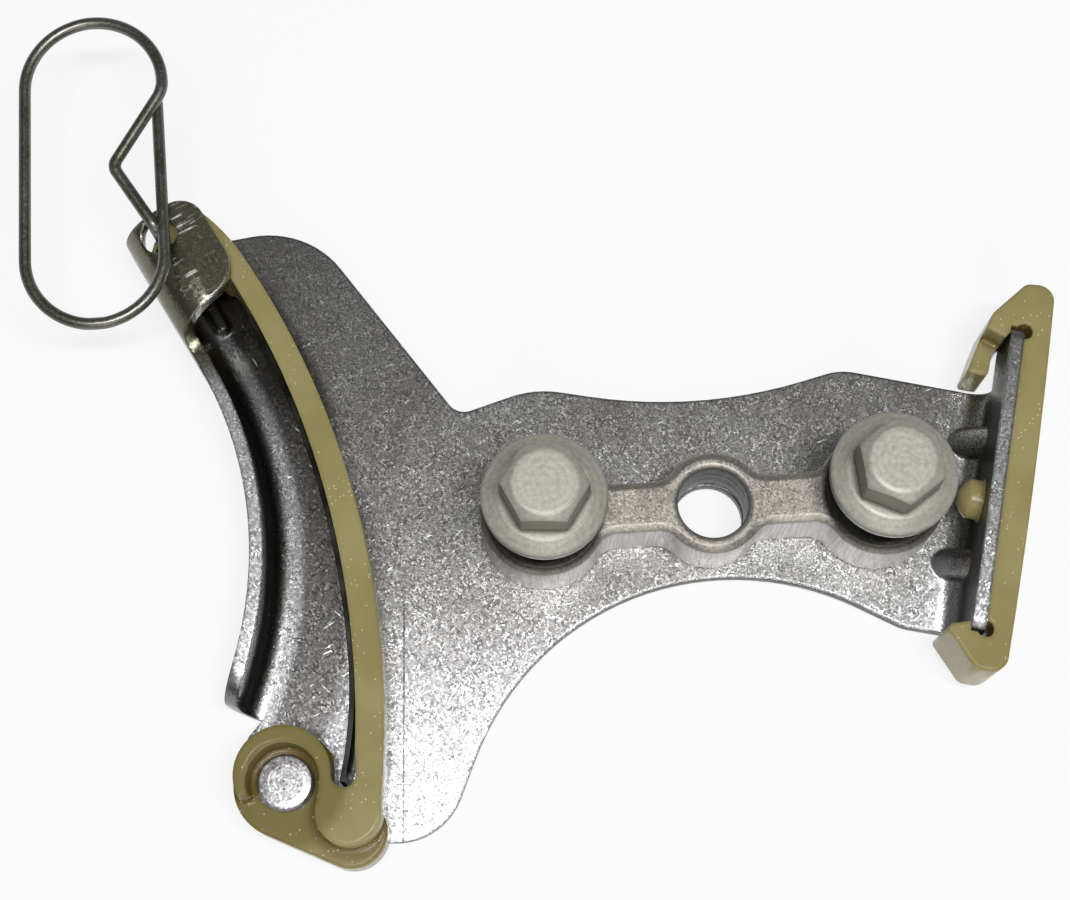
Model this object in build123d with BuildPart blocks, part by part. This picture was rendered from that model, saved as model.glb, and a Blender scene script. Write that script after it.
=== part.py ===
from build123d import *
from math import cos, radians, sin, sqrt
import os

# Timing chain tensioner and guide assembly, in millimetres.
# Origin on the axis of the centre bore, at the underside of the sheet. +X runs from the tensioner
# shoe to the fixed guide along the line of the two bolts, +Z runs along the bolts to their heads.

# Folded sheet bracket
sheet = 1.8                      # thickness of the stamping
seat_proud = 1.2                 # the seat bosses stand this far below the sheet
fold_radius = 2.8                # inside radius of the folds
fold_lap = 6.0                   # floor carried along by each folded strip
rail_rise = 9.0                  # rail height above the floor
rail_face = -59.8                # inner face of the curved rail, at the height of its centre
rail_centre_y = -1.3
rail_radius = 54.3               # of that inner face
rail_end_angle = -23.2           # lower end of the rail
rail_top_angle = 28.0            # from here the wall runs on straight under the hood
rail_corner = 5.0                # rounded upper corner of the rail's free end

# Outline of the floor, besides the folds
nose = (-53.4, 46.5)             # rounded corner beyond the shoe's tip
nose_radius = 13.0
neck = (-33.4, 17.0)             # concave corner between the nose and the left bolt
neck_radius = 2.6
shoulder_rise = 20.2             # edge above each bolt
shoulder_left_radius = 14.0
shoulder_right_in = 2.2          # the right shoulder lies this far inside its bolt
shoulder_right_radius = 8.0
waist_rise = 15.2                # edge above the centre bore
waist_radius = 66.0
sprocket_corner = (-16.7, 7.6)   # the clearance arc for the crank sprocket rounds this corner
sprocket_radius = 37.4
foot_right = 19.5                # foot of the floor, from the pivot
foot_right_down = 8.4
foot_right_radius = 9.0
foot_left = 5.7
foot_left_down = 5.9
foot_left_radius = 5.5
heel_rise = 7.1                  # start of the folded rail above the pivot
heel_radius = 1.0
chin = (25.0, -16.6)             # corner below the right bolt
chin_radius = 6.0

# Hood over the shoe's tip, measured along the fold from the rail and across it from the wall
hood_start = 5.0
hood_end = 20.7
hood_width = 10.9
hood_rise = 14.0                 # top face above the floor
hood_bend = 6.0                  # outer radius of the roll
hood_run = 3.0                   # curve from the rail's edge up to the hood
hood_notch = 1.5                 # inner corner between rail and hood
hood_lower_corner = 5.0
hood_upper_corner = 3.4
hood_hole_along = 17.6
hood_hole_across = 4.45
hood_hole_diameter = 5.0
bead_width = 3.6                 # stiffening bead on the floor under the hood
bead_rise = 1.3
bead_slope = 28.0                # degrees that its sides lean in
bead_across = 5.8
bead_start = 4.7
bead_end = 19.0

# Right flange
flange_x = 36.5                  # inner face where it crosses the bolt line
flange_lean = 14.5               # degrees from the Y axis
flange_rise = 12.0
flange_low = -20.3               # ends of the wall, measured along it from the bolt line
flange_high = 22.0
flange_fold_low = -18.9          # ends of the fold
flange_fold_high = 15.45
flange_corner = 1.8
gusset_reach = 4.6               # from the wall along the floor
gusset_radius = 2.3
gussets = (-9.3, 8.2)            # places along the flange

# Sintered spacer block
block_rise = 9.2                 # above the floor of the sheet
bolt_pitch = 45.0
centre_lobe_radius = 6.95
bolt_lobe_radius = 8.5
web_width = 6.9
web_fillet = 3.2
block_edge = 0.6
centre_bore = 9.4
bore_chamfer = 0.45
bolt_bore = 9.0
boss_radius = 6.05               # seat bosses through the sheet
boss_clearance = 0.05
bore_relief = 10.2               # groove at the foot of the centre bore
relief_height = 1.1

# Flange bolts, size M8
bolt_shank = 7.9
bolt_length = 20.0
bolt_tip_chamfer = 0.9
bolt_flange = 16.4               # diameter
bolt_flange_edge = 1.3
bolt_cone_rise = 1.1
bolt_cone_top = 12.2             # diameter where the cone meets the hexagon
hex_across_flats = 10.0
hex_height = 6.9                 # above the flange's edge
hex_round_top = 8.4              # diameter of the flat top circle
hex_round_drop = 1.1
left_bolt_turn = -4.6            # degrees round their own axes
right_bolt_turn = -26.0

# Pivot pin
pivot_x = -57.9
pivot_y = -33.1
pin_radius = 2.6                 # shoulder in the shoe's eye
pin_tenon_radius = 2.0           # riveted through the sheet
pin_tail_radius = 3.2
pin_head_radius = 3.65
pin_head_height = 1.9
pin_head_edge = 0.3
pin_crown = 0.12                 # low crown on the head
pin_crown_radius = 2.3
pin_head_gap = 0.15
running_clearance = 0.05

# Tensioner shoe: the long blade, its foot with the eye, and its tip under the hood
shoe_gap = 0.3                   # over the floor
shoe_height = 11.0
blade_low = (12.3, -3.9)         # convex chain face: its foot, from the pivot
blade_mid = (-46.5, -1.0)
blade_high = (10.3, 12.7)        # along and across the hood
blade_tip = (18.5, 11.0)
inner_low = (9.0, -1.2)          # concave inner face: its foot, from the pivot
inner_mid = (-50.7, 2.2)
inner_high = (9.6, 9.7)          # along and across the hood
foot_height = 5.6                # plain flange of the foot
eye_radius = 6.9
rim_radius = 6.2
rim_shift = 0.7
recess_radius = 4.75
rim_start = -10.0                # the rim stands round the upper side of the eye only
rim_end = 200.0
lobe_x = 8.2                     # raised lobe, from the pivot
lobe_y = -4.6
lobe_radius = 4.2
heel_x = 8.1                     # lower lobe of the foot's flange, from the pivot
heel_y = -6.6
heel_lobe_radius = 4.6
slot_radius = 1.6
slot_depth = 1.5                 # slot below the pivot's level
slot_right = 9.4                 # blade side of the slot, from the pivot
slot_wall_x = 6.2
tip_low = 10.1                   # tip block along the hood
tip_high = 19.4
tip_root = 9.0                   # here the tip block joins the blade
tip_gap = 0.3                    # over the bead and beside the wall
tip_shoulder = 5.3               # upper part of the tip, beside the locking wire
lock_slot_play = 0.25
lock_slot_travel = 0.45
lug_bevel = 1.5

# Leaf spring behind the blade
leaf = 0.7
leaf_inset = 1.0
leaf_gap = 0.05
leaf_low = 0.22                  # ends, as shares of the blade's inner face
leaf_high = 0.9
leaf_foot_x = 7.5                # foot of the leaf in the slot, from the pivot
leaf_foot_y = -0.7

# Fixed guide, measured along the flange and outward from its inner face
guide_height = 11.2
guide_gap = 0.06                 # round the flange
guide_end_gap = 0.2
guide_face = 5.2                 # chain face at its ends
guide_bow = 0.35
guide_low = -25.2
guide_high = 28.7
guide_low_corner = 2.3
guide_high_corner = 2.2
guide_face_inset = 2.8           # chain face's ends, inside the guide's own ends
hook_high = (28.3, 1.2)
hook_high_radius = 1.6
hook_bend = (23.2, -2.8)
hook_bend_radius = 3.0
finger_outer = -4.5
finger_inner = -1.7
finger_root = (18.9, -1.5)
finger_edge = 0.5
finger_drop = 3.6                # the finger's top lies this far below the guide's
finger_step = (20.9, -2.7)       # step between the two, from the outer side in
finger_step_in = (20.2, -0.7)
pocket_radius = 1.1              # relief round the flange's outer corners
pocket_inset = 0.5
heel_hook = (-20.2, -3.4)
heel_hook_radius = 0.7
heel_hook_outer = (-25.2, 1.2)
heel_hook_outer_radius = 1.4
peg_along = -1.3
peg_rise = 5.8                   # above the floor of the sheet
peg_radius = 2.2
peg_head_radius = 2.7
peg_lip_radius = 3.1
peg_lip = 0.3
peg_reach = 3.2
peg_clearance = 0.1

# Locking clip of round wire
wire = 1.6
clip_gap = 0.3                   # over the hood
clip_bend = 9.5
clip_turn = 1.6
clip_eye = 4.0
lock_reach = 1.0                 # end of the wire inside the shoe's tip
wire_sides = 10                  # sides of its section in this model
clip_left = -17.6                # corners of the loop, from the locking point
clip_right = 1.3
clip_low = -13.0
clip_high = 31.3
clip_slope = 1.5                 # the loop's left shoulder is this much lower
clip_end = (0.2, 19.3)
clip_back = (1.2, 19.8)
clip_elbow = (-5.7, 9.2)
clip_left_lift = 0.3             # the wire climbs along the loop
clip_top_lift = 1.5
clip_right_lift = 1.9
clip_back_lift = 1.7
clip_elbow_lift = 1.1

os.makedirs("parts", exist_ok=True)

# Levels
seat_level = -seat_proud
floor_top = sheet
floor_mid = sheet / 2
rail_top = floor_top + rail_rise
hood_top = floor_top + hood_rise
flange_top = floor_top + flange_rise
block_top = floor_top + block_rise
shoe_low = floor_top + shoe_gap
shoe_top = shoe_low + shoe_height
foot_top = shoe_low + foot_height
bolt_x = bolt_pitch / 2
fold_mid = fold_radius + sheet / 2
rail_centre_x = rail_face - rail_radius
wall_outer = rail_radius - sheet
wall_mid = rail_radius - sheet / 2


def around(x, y, radius, angle):
    """Point at an angle in degrees round a centre."""
    return (x + radius * cos(radians(angle)), y + radius * sin(radians(angle)))


def rail(radius, angle):
    return around(rail_centre_x, rail_centre_y, radius, angle)


def from_pivot(x, y):
    return (pivot_x + x, pivot_y + y)


# The hood's frame starts at the outer face of the wall, where the rail's curve ends
hood_along = Vector(-sin(radians(rail_top_angle)), cos(radians(rail_top_angle)), 0)
hood_across = Vector(cos(radians(rail_top_angle)), sin(radians(rail_top_angle)), 0)


def on_hood(along, across, height=0.0):
    """Point given along and across the hood's fold."""
    return Vector(*rail(wall_outer, rail_top_angle), height) + hood_along * along + hood_across * across


hood_section = Plane(origin=on_hood(0, 0), x_dir=hood_across, z_dir=-hood_along)
hood_side = Plane(origin=on_hood(0, 0), x_dir=hood_along, z_dir=hood_across)
hood_plan = Plane(origin=on_hood(0, 0, rail_top), x_dir=hood_along, z_dir=(0, 0, -1))
rail_section = Plane(
    origin=(rail_centre_x, rail_centre_y, 0),
    x_dir=(cos(radians(rail_end_angle)), sin(radians(rail_end_angle)), 0),
    z_dir=(sin(radians(rail_end_angle)), -cos(radians(rail_end_angle)), 0),
)

# The flange's frame runs along its inner face from the bolt line, and outward from that face
flange_along = Vector(sin(radians(flange_lean)), cos(radians(flange_lean)), 0)
flange_out = Vector(cos(radians(flange_lean)), -sin(radians(flange_lean)), 0)


def on_flange(along, outward, height=0.0):
    """Point given along the flange and outward from its inner face."""
    return Vector(flange_x, 0, height) + flange_along * along + flange_out * outward


flange_section = Plane(origin=on_flange(0, 0), x_dir=flange_out, z_dir=-flange_along)
flange_face = Plane(origin=on_flange(0, 0), x_dir=flange_along, z_dir=flange_out)


def flange_plan(height):
    """Level plane with x along the flange and y outward."""
    return Plane(origin=on_flange(0, 0, height), x_dir=flange_along, z_dir=(0, 0, -1))


# Hood: a strip folded up and rolled over, cut to a rounded tongue
with BuildPart() as hood:
    with BuildSketch(hood_section):
        with BuildLine():
            FilletPolyline(
                (fold_lap, floor_mid),
                (sheet / 2, floor_mid),
                (sheet / 2, hood_top - sheet / 2),
                (hood_width, hood_top - sheet / 2),
                radius=[fold_mid, hood_bend - sheet / 2],
            )
        trace(line_width=sheet)
    extrude(amount=-hood_end)
    with BuildSketch(hood_side):
        with BuildLine():
            FilletPolyline(
                (0, 0),
                (0, rail_top),
                (hood_start, rail_top),
                (hood_start, hood_top),
                (hood_end, hood_top),
                (hood_end, 0),
                radius=[0, 0, hood_run, 0, 0, 0],
                close=True,
            )
        make_face()
    extrude(amount=hood_width, mode=Mode.INTERSECT)
    with BuildSketch(hood_plan):
        Rectangle(hood_end, hood_width, align=(Align.MIN, Align.MIN))
        with BuildLine():
            FilletPolyline(
                (0, 0),
                (0, sheet),
                (hood_start, sheet),
                (hood_start + sheet, hood_width),
                (hood_end, hood_width),
                (hood_end, 0),
                radius=[0, 0, hood_notch, hood_lower_corner, hood_upper_corner, 0],
                close=True,
            )
        make_face(mode=Mode.SUBTRACT)
    extrude(amount=-hood_top, mode=Mode.SUBTRACT)
    with BuildSketch(hood_plan):
        with Locations((hood_hole_along, hood_hole_across)):
            Circle(hood_hole_diameter / 2)
    extrude(amount=-hood_top, mode=Mode.SUBTRACT)

# Bead on the floor under the hood
with BuildPart() as bead:
    with BuildSketch(Plane(origin=on_hood(0, 0, floor_mid), x_dir=hood_along, z_dir=(0, 0, -1))):
        with Locations(((bead_start + bead_end) / 2, bead_across)):
            SlotOverall(bead_end - bead_start, bead_width)
    extrude(amount=-(sheet / 2 + bead_rise), taper=bead_slope)



def pressed_gusset(place):
    """Rounded ridge that braces the fold of the flange, from its floor to its wall."""
    sunk = gusset_radius / sqrt(2)
    with BuildPart() as gusset:
        with BuildSketch(flange_section.offset(gusset_radius - place)):
            with BuildLine():
                Polyline(
                    (sheet / 2, floor_mid),
                    (sheet / 2, floor_top + gusset_reach + sheet / 2),
                    (-gusset_reach - sheet / 2, floor_mid),
                    close=True,
                )
            make_face()
        extrude(amount=-2 * gusset_radius)
        with BuildSketch(
            Plane(
                origin=on_flange(place, sunk - gusset_reach, floor_top - sunk),
                x_dir=flange_along,
                z_dir=flange_out + Vector(0, 0, 1),
            )
        ):
            Circle(gusset_radius)
        extrude(amount=2 * gusset_reach, both=True, mode=Mode.INTERSECT)
    return gusset.part


# Bracket: floor, curved rail, hood and right flange as one stamping
with BuildPart() as bracket:
    with BuildSketch(Plane.XY):
        with BuildLine():
            rail_lap = CenterArc(
                (rail_centre_x, rail_centre_y),
                wall_mid + fold_mid,
                rail_end_angle,
                rail_top_angle - rail_end_angle,
            )
            FilletPolyline(
                rail_lap @ 1,
                on_hood(hood_end, sheet / 2 + fold_mid),
                nose,
                neck,
                (-bolt_x, shoulder_rise),
                (0, waist_rise),
                (bolt_x - shoulder_right_in, shoulder_rise),
                on_flange(flange_fold_high, -fold_radius),
                on_flange(flange_fold_low, -fold_radius),
                chin,
                sprocket_corner,
                from_pivot(foot_right, -foot_right_down),
                from_pivot(-foot_left, -foot_left_down),
                from_pivot(-foot_left, heel_rise),
                rail_lap @ 0,
                radius=[
                    0,
                    nose_radius,
                    neck_radius,
                    shoulder_left_radius,
                    waist_radius,
                    shoulder_right_radius,
                    0,
                    0,
                    chin_radius,
                    sprocket_radius,
                    foot_right_radius,
                    foot_left_radius,
                    heel_radius,
                ],
            )
        make_face()
    extrude(amount=sheet)
    with BuildSketch(rail_section):
        with BuildLine():
            FilletPolyline(
                (wall_outer + fold_lap, floor_mid),
                (wall_mid, floor_mid),
                (wall_mid, rail_top),
                radius=fold_mid,
            )
        trace(line_width=sheet)
    revolve(
        axis=Axis((rail_centre_x, rail_centre_y, 0), (0, 0, 1)),
        revolution_arc=rail_top_angle - rail_end_angle,
    )
    rail_end = Vector(*rail(wall_mid, rail_end_angle), rail_top)
    fillet(bracket.edges().sort_by_distance(rail_end)[0], rail_corner)
    add(hood.part)
    with BuildSketch(flange_section.offset(-flange_fold_low)):
        with BuildLine():
            FilletPolyline(
                (sheet - fold_lap, floor_mid),
                (sheet / 2, floor_mid),
                (sheet / 2, flange_top - flange_corner),
                radius=fold_mid,
            )
        trace(line_width=sheet)
    extrude(amount=flange_fold_low - flange_fold_high)
    with BuildSketch(flange_face):
        with BuildLine():
            FilletPolyline(
                (flange_low, floor_top + fold_radius),
                (flange_low, flange_top),
                (flange_high, flange_top),
                (flange_high, floor_top + fold_radius),
                radius=flange_corner,
                close=True,
            )
        make_face()
    extrude(amount=sheet)
    with BuildSketch(flange_face):
        with Locations((peg_along, floor_top + peg_rise)):
            Circle(peg_radius + peg_clearance)
    extrude(amount=sheet, mode=Mode.SUBTRACT)
    for place in gussets:
        add(pressed_gusset(place))
    add(bead.part)
    # Holes for the seat bosses, the centre bore and the pivot pin
    with BuildSketch(Plane.XY):
        with Locations((-bolt_x, 0), (bolt_x, 0)):
            Circle(boss_radius + boss_clearance)
        Circle(centre_bore / 2)
        with Locations((pivot_x, pivot_y)):
            Circle(pin_tenon_radius)
    extrude(amount=sheet, mode=Mode.SUBTRACT)

# Spacer block: three lobes joined by a web, with seat bosses through the sheet
with BuildPart() as spacer_block:
    with BuildSketch(Plane.XY.offset(floor_top)) as block_plan:
        with Locations((-bolt_x, 0), (bolt_x, 0)):
            Circle(bolt_lobe_radius)
        Circle(centre_lobe_radius)
        Rectangle(bolt_pitch, web_width)
        fillet(block_plan.vertices().filter_by(lambda v: abs(v.Y) > web_width / 4), web_fillet)
    extrude(amount=block_rise)
    chamfer(spacer_block.faces().sort_by(Axis.Z)[-1].edges(), block_edge)
    with BuildSketch(Plane.XY.offset(seat_level)):
        with Locations((-bolt_x, 0), (bolt_x, 0)):
            Circle(boss_radius)
    extrude(amount=floor_top - seat_level)
    with BuildSketch(Plane.XY.offset(seat_level)):
        with Locations((-bolt_x, 0), (bolt_x, 0)):
            Circle(bolt_bore / 2)
        Circle(centre_bore / 2)
    extrude(amount=block_top - seat_level, mode=Mode.SUBTRACT)
    with BuildSketch(Plane.XY.offset(floor_top)):
        Circle(bore_relief / 2)
    extrude(amount=relief_height, mode=Mode.SUBTRACT)
    bore_mouths = spacer_block.edges().filter_by(GeomType.CIRCLE).group_by(Axis.Z)[-1]
    chamfer(bore_mouths.filter_by(lambda e: e.radius <= centre_bore / 2), bore_chamfer)


def flange_bolt(side, turn):
    """Hexagon flange bolt standing in one bore of the block."""
    place = Plane((side * bolt_x, 0, seat_level))
    seat = bolt_length
    hex_base = seat + bolt_flange_edge
    hex_top = hex_base + hex_height
    with BuildPart() as bolt:
        with BuildSketch(Plane(place.origin, x_dir=(1, 0, 0), z_dir=(0, -1, 0))):
            with BuildLine():
                Polyline(
                    (0, 0),
                    (bolt_shank / 2 - bolt_tip_chamfer, 0),
                    (bolt_shank / 2, bolt_tip_chamfer),
                    (bolt_shank / 2, seat),
                    (bolt_flange / 2, seat),
                    (bolt_flange / 2, hex_base),
                    (bolt_cone_top / 2, hex_base + bolt_cone_rise),
                    (0, hex_base + bolt_cone_rise),
                    close=True,
                )
            make_face()
        revolve(axis=Axis(place.origin, (0, 0, 1)))
        with BuildPart(mode=Mode.PRIVATE) as hexagon:
            with BuildSketch(place.offset(hex_base)):
                RegularPolygon(hex_across_flats / 2, 6, major_radius=False, rotation=turn)
            extrude(amount=hex_height)
            with BuildSketch(Plane(place.origin, x_dir=(1, 0, 0), z_dir=(0, -1, 0))):
                with BuildLine():
                    Polyline(
                        (0, seat),
                        (hex_across_flats, seat),
                        (hex_across_flats, hex_top - hex_round_drop - hex_across_flats / 4),
                        (hex_across_flats / 2, hex_top - hex_round_drop / 2),
                        (hex_round_top / 2, hex_top),
                        (0, hex_top),
                        close=True,
                    )
                make_face()
            revolve(axis=Axis(place.origin, (0, 0, 1)), mode=Mode.INTERSECT)
        add(hexagon.part)
    return bolt.part


for name, side, turn in (("bolt_left", -1, left_bolt_turn), ("bolt_right", 1, right_bolt_turn)):
    bolt = flange_bolt(side, turn)
    bolt.label = name
    export_step(bolt, f"parts/{name}.step")

# Pivot pin: crowned head, shoulder through the shoe's eye, tenon riveted under the sheet
with BuildPart() as pivot_pin:
    head_low = foot_top + pin_head_gap
    head_high = head_low + pin_head_height
    with BuildSketch(Plane((pivot_x, pivot_y, 0), x_dir=(1, 0, 0), z_dir=(0, -1, 0))):
        with BuildLine():
            Polyline(
                (0, seat_level),
                (pin_tail_radius, seat_level),
                (pin_tail_radius, 0),
                (pin_tenon_radius, 0),
                (pin_tenon_radius, floor_top),
                (pin_radius, floor_top),
                (pin_radius, head_low),
                (pin_head_radius, head_low),
                (pin_head_radius, head_high - pin_head_edge),
                (pin_head_radius - pin_head_edge, head_high),
                (pin_crown_radius, head_high + pin_crown),
                (0, head_high + pin_crown),
                close=True,
            )
        make_face()
    revolve(axis=Axis((pivot_x, pivot_y, 0), (0, 0, 1)))

# Tensioner shoe
with BuildPart() as tensioner_blade:
    # Blade from the foot to the tip, curved on both sides
    with BuildSketch(Plane.XY.offset(shoe_low)):
        with BuildLine():
            chain_face = ThreePointArc(from_pivot(*blade_low), blade_mid, on_hood(*blade_high))
            chain_tip = TangentArc(chain_face @ 1, on_hood(*blade_tip), tangent=chain_face % 1)
            inner_face = ThreePointArc(from_pivot(*inner_low), inner_mid, on_hood(*inner_high))
            Polyline(
                chain_tip @ 1,
                on_hood(tip_high, hood_width - sheet / 2),
                on_hood(tip_low, tip_root),
                inner_face @ 1,
            )
            Line(inner_face @ 0, chain_face @ 0)
        make_face()
        # Rim round the upper side of the eye, and the raised lobe that joins it to the blade
        with Locations(from_pivot(0, rim_shift)):
            Circle(rim_radius)
        with BuildLine():
            Polyline(
                from_pivot(0, 0),
                from_pivot(slot_wall_x, 0),
                from_pivot(slot_right, -slot_depth),
                from_pivot(lobe_x, lobe_y),
                from_pivot(lobe_x - lobe_radius, lobe_y),
                close=True,
            )
        make_face()
        with Locations(from_pivot(lobe_x, lobe_y)):
            Circle(lobe_radius)
    extrude(amount=shoe_height)
    with BuildSketch(Plane.XY.offset(foot_top)):
        with Locations(from_pivot(0, 0)):
            Circle(recess_radius)
        with BuildLine():
            Polyline(
                from_pivot(0, 0),
                around(pivot_x, pivot_y, recess_radius, rim_start),
                from_pivot(lobe_x - lobe_radius, lobe_y),
                from_pivot(lobe_x - lobe_radius, lobe_y - eye_radius),
                from_pivot(-eye_radius - rim_shift, lobe_y - eye_radius),
                around(pivot_x, pivot_y, eye_radius + rim_shift, rim_end),
                close=True,
            )
        make_face()
        with Locations(from_pivot(lobe_x, lobe_y)):
            Circle(lobe_radius, mode=Mode.SUBTRACT)
    extrude(amount=shoe_height, mode=Mode.SUBTRACT)
    # Plain flange of the foot
    with BuildSketch(Plane.XY.offset(shoe_low)):
        with Locations(from_pivot(0, 0)):
            Circle(eye_radius)
        with Locations(from_pivot(heel_x, heel_y)):
            Circle(heel_lobe_radius)
        make_hull()
    extrude(amount=foot_height)
    # Tip block and its locking lug, clear of the bead and the roll of the hood
    with BuildSketch(Plane(origin=on_hood(0, 0, hood_top - hood_bend), x_dir=hood_along, z_dir=(0, 0, -1))):
        with BuildLine():
            Polyline(
                (tip_high, hood_width - sheet / 2),
                (tip_high, tip_shoulder),
                (tip_high - 2 * lug_bevel, tip_shoulder),
                (tip_low + lug_bevel, tip_shoulder),
                (tip_low, tip_root + sheet / 2),
                close=True,
            )
        make_face()
    extrude(amount=hood_top - hood_bend - shoe_top)
    with BuildSketch(Plane(origin=on_hood(0, 0, floor_top), x_dir=hood_along, z_dir=(0, 0, -1))):
        with BuildLine():
            Polyline(
                (tip_high, hood_width - sheet / 2),
                (tip_high, sheet + tip_gap + lug_bevel),
                (tip_high - lug_bevel, sheet + tip_gap),
                (tip_low + 2 * lug_bevel, sheet + tip_gap),
                (tip_low, tip_root + sheet / 2),
                close=True,
            )
        make_face()
    extrude(amount=-(hood_rise - hood_bend), mode=Mode.ADD)
    with BuildSketch(Plane(origin=on_hood(0, 0, floor_top), x_dir=hood_along, z_dir=(0, 0, -1))):
        with Locations(((tip_low + tip_high) / 2, (sheet + bead_across + bead_width / 2) / 2)):
            Rectangle(2 * (tip_high - tip_low), bead_across + bead_width / 2 + 2 * tip_gap)
    extrude(amount=-(bead_rise + tip_gap), mode=Mode.SUBTRACT)
    # Slot for the locking wire, long enough for the shoe's swing while the wire leaves it
    with BuildSketch(Plane(origin=on_hood(0, 0, floor_top), x_dir=hood_along, z_dir=(0, 0, -1))):
        with Locations((hood_hole_along, hood_hole_across - lock_slot_travel / 2)):
            SlotOverall(
                wire + 2 * lock_slot_play + lock_slot_travel,
                wire + 2 * lock_slot_play,
                rotation=90,
            )
    extrude(amount=-hood_rise, mode=Mode.SUBTRACT)
    # Eye, and the slot that takes the foot of the leaf spring
    with BuildSketch(Plane.XY.offset(shoe_low)):
        with Locations(from_pivot(0, 0)):
            Circle(pin_radius + running_clearance)
        with Locations(from_pivot(slot_right - slot_radius, eye_radius)):
            SlotOverall(2 * (eye_radius + slot_depth), 2 * slot_radius, rotation=90)
    extrude(amount=shoe_height, mode=Mode.SUBTRACT)



def behind_blade(share):
    """Point on the leaf's middle line, at a share of the blade's inner face."""
    way = inner_face % share
    return inner_face @ share + Vector(-way.Y, way.X, 0) * (leaf_gap + leaf / 2)


# Leaf spring: a strip along the blade's inner face, its foot in the slot
with BuildPart() as leaf_spring:
    with BuildSketch(Plane.XY.offset(shoe_low + leaf_inset)):
        with BuildLine():
            leaf_arc = ThreePointArc(
                *(behind_blade(share) for share in (leaf_low, (leaf_low + leaf_high) / 2, leaf_high))
            )
            TangentArc(leaf_arc @ 0, from_pivot(leaf_foot_x, leaf_foot_y), tangent=-(leaf_arc % 0))
        trace(line_width=leaf)
    extrude(amount=shoe_height - 2 * leaf_inset)

# Fixed guide: a moulded strip that hooks round both ends of the flange and snaps in with a peg
with BuildPart() as guide_shoe:
    guide_low_z = floor_top + shoe_gap
    with BuildSketch(flange_plan(guide_low_z)):
        with BuildLine():
            face_low = (guide_low + guide_face_inset, guide_face)
            face_high = (guide_high - guide_face_inset, guide_face)
            ThreePointArc(face_low, (0, guide_face + guide_bow), face_high)
            FilletPolyline(
                face_high,
                (guide_high, guide_face),
                hook_high,
                hook_bend,
                (flange_fold_high + guide_end_gap, finger_outer),
                (flange_fold_high + guide_end_gap, finger_inner),
                finger_root,
                (flange_high - flange_corner / 2, -guide_gap),
                (flange_fold_low - guide_end_gap, -guide_gap),
                heel_hook,
                heel_hook_outer,
                (guide_low, guide_face),
                face_low,
                radius=[
                    guide_high_corner,
                    hook_high_radius,
                    hook_bend_radius,
                    finger_edge,
                    finger_edge,
                    2 * finger_edge,
                    0,
                    0,
                    heel_hook_radius,
                    heel_hook_outer_radius,
                    guide_low_corner,
                ],
            )
        make_face()
        with Locations(((flange_low + flange_high) / 2, sheet / 2)):
            Rectangle(
                flange_high - flange_low + 2 * guide_gap,
                sheet + 2 * guide_gap,
                mode=Mode.SUBTRACT,
            )
        with Locations((flange_low + pocket_inset, sheet), (flange_high - pocket_inset, sheet)):
            Circle(pocket_radius, mode=Mode.SUBTRACT)
    extrude(amount=-guide_height)
    with BuildSketch(flange_plan(guide_low_z + guide_height)):
        with BuildLine():
            Polyline(
                finger_step_in,
                finger_step,
                (finger_step[0], 2 * finger_outer),
                (0, 2 * finger_outer),
                (0, finger_step_in[1]),
                close=True,
            )
        make_face()
    extrude(amount=finger_drop, mode=Mode.SUBTRACT)
    with BuildSketch(flange_plan(floor_top + peg_rise)):
        with BuildLine():
            Polyline(
                (peg_along, guide_face),
                (peg_along + peg_radius, guide_face),
                (peg_along + peg_radius, -guide_gap),
                (peg_along + peg_lip_radius, -guide_gap),
                (peg_along + peg_head_radius, -guide_gap - peg_lip),
                (peg_along + peg_head_radius, peg_head_radius / 2 - peg_reach),
                (peg_along + peg_head_radius * 3 / 4, peg_head_radius / 4 - peg_reach),
                (peg_along + peg_head_radius / 3, -peg_reach),
                (peg_along, -peg_reach),
                close=True,
            )
        make_face()
    revolve(axis=Axis(on_flange(peg_along, 0, floor_top + peg_rise), flange_out))

# Locking clip: round wire, its end standing in the shoe's tip through the hood
with BuildPart() as locking_clip:
    lock_point = on_hood(hood_hole_along, hood_hole_across, hood_top + clip_gap + wire / 2)
    with BuildLine() as clip_path:
        FilletPolyline(
            lock_point + clip_end,
            lock_point + (clip_right, clip_low),
            lock_point + (clip_left, clip_low, clip_left_lift),
            lock_point + (clip_left, clip_high - clip_slope, clip_top_lift),
            lock_point + (clip_right, clip_high, clip_right_lift),
            lock_point + clip_back + (0, 0, clip_back_lift),
            lock_point + clip_elbow + (0, 0, clip_elbow_lift),
            lock_point,
            lock_point - (0, 0, clip_gap + wire / 2 + hood_bend + lock_reach),
            radius=[clip_bend, clip_bend, clip_bend, clip_bend, clip_eye, clip_turn, clip_turn],
        )
    with BuildSketch(Plane(origin=clip_path.line @ 0, z_dir=clip_path.line % 0)):
        RegularPolygon(wire / 2, wire_sides, major_radius=False)
    sweep(path=clip_path.line)

for name, piece in (
    ("bracket", bracket),
    ("spacer_block", spacer_block),
    ("pivot_pin", pivot_pin),
    ("tensioner_blade", tensioner_blade),
    ("leaf_spring", leaf_spring),
    ("guide_shoe", guide_shoe),
    ("locking_clip", locking_clip),
):
    piece.part.label = name
    export_step(piece.part, f"parts/{name}.step")
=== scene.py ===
from functools import reduce
from math import cos, pi, radians, sin

import bmesh
import bpy
from mathutils import Matrix, Vector


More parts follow.
